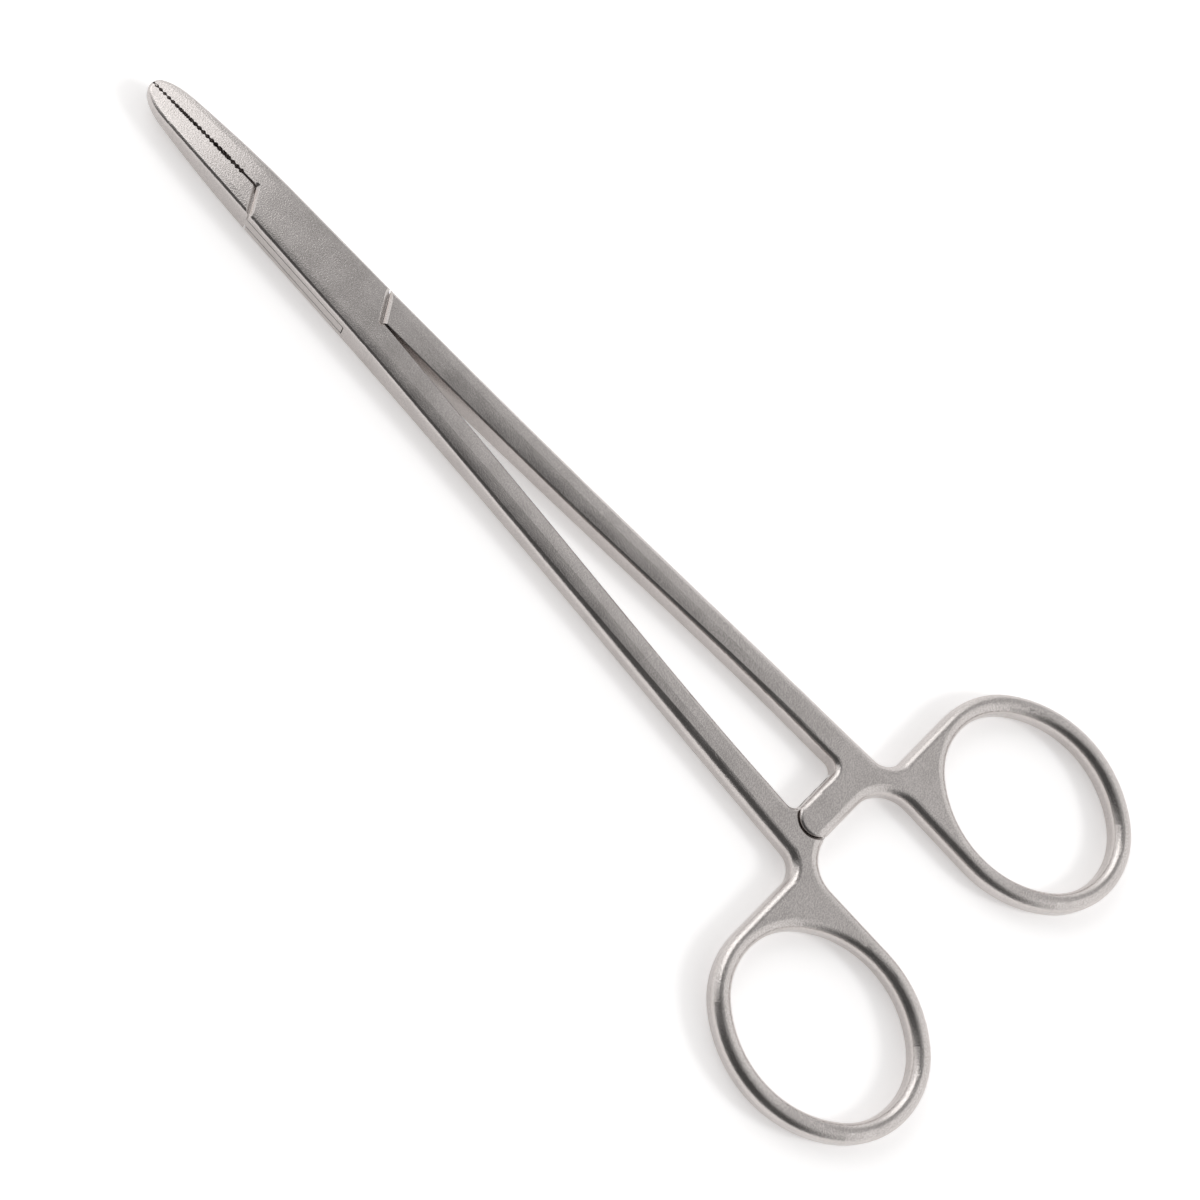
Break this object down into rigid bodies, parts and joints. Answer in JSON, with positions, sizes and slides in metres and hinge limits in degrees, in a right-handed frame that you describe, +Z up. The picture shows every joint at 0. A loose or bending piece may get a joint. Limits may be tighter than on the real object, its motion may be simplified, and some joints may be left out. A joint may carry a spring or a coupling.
{
  "type": "surgical needle holder",
  "caption": "Box-lock needle holder in satin steel with short serrated jaws, slim tapered shanks, a toothed ratchet and oval finger rings.",
  "frame": {"origin": "on the pivot's axis, in the plane that the box rests on", "axes": "+X towards the finger rings along the closed instrument, +Z up out of the resting face, jaws part along Y"},
  "size_m": [0.1596, 0.068, 0.0046],
  "materials": {
    "satin_steel": "satin, glass-bead blasted and brushed, ground flush over the box"
  },
  "bodies": {
    "box_side": {"box_half": "satin_steel", "pivot_pin": "satin_steel"},
    "tongue_side": {"tongue_half": "satin_steel"}
  },
  "joints": [
    {"name": "box_lock", "type": "hinge", "parent": "box_side", "child": "tongue_side", "pos_m": [0, 0, 0], "axis": [0, 0, 1], "range_deg": [0, 40]}
  ]
}
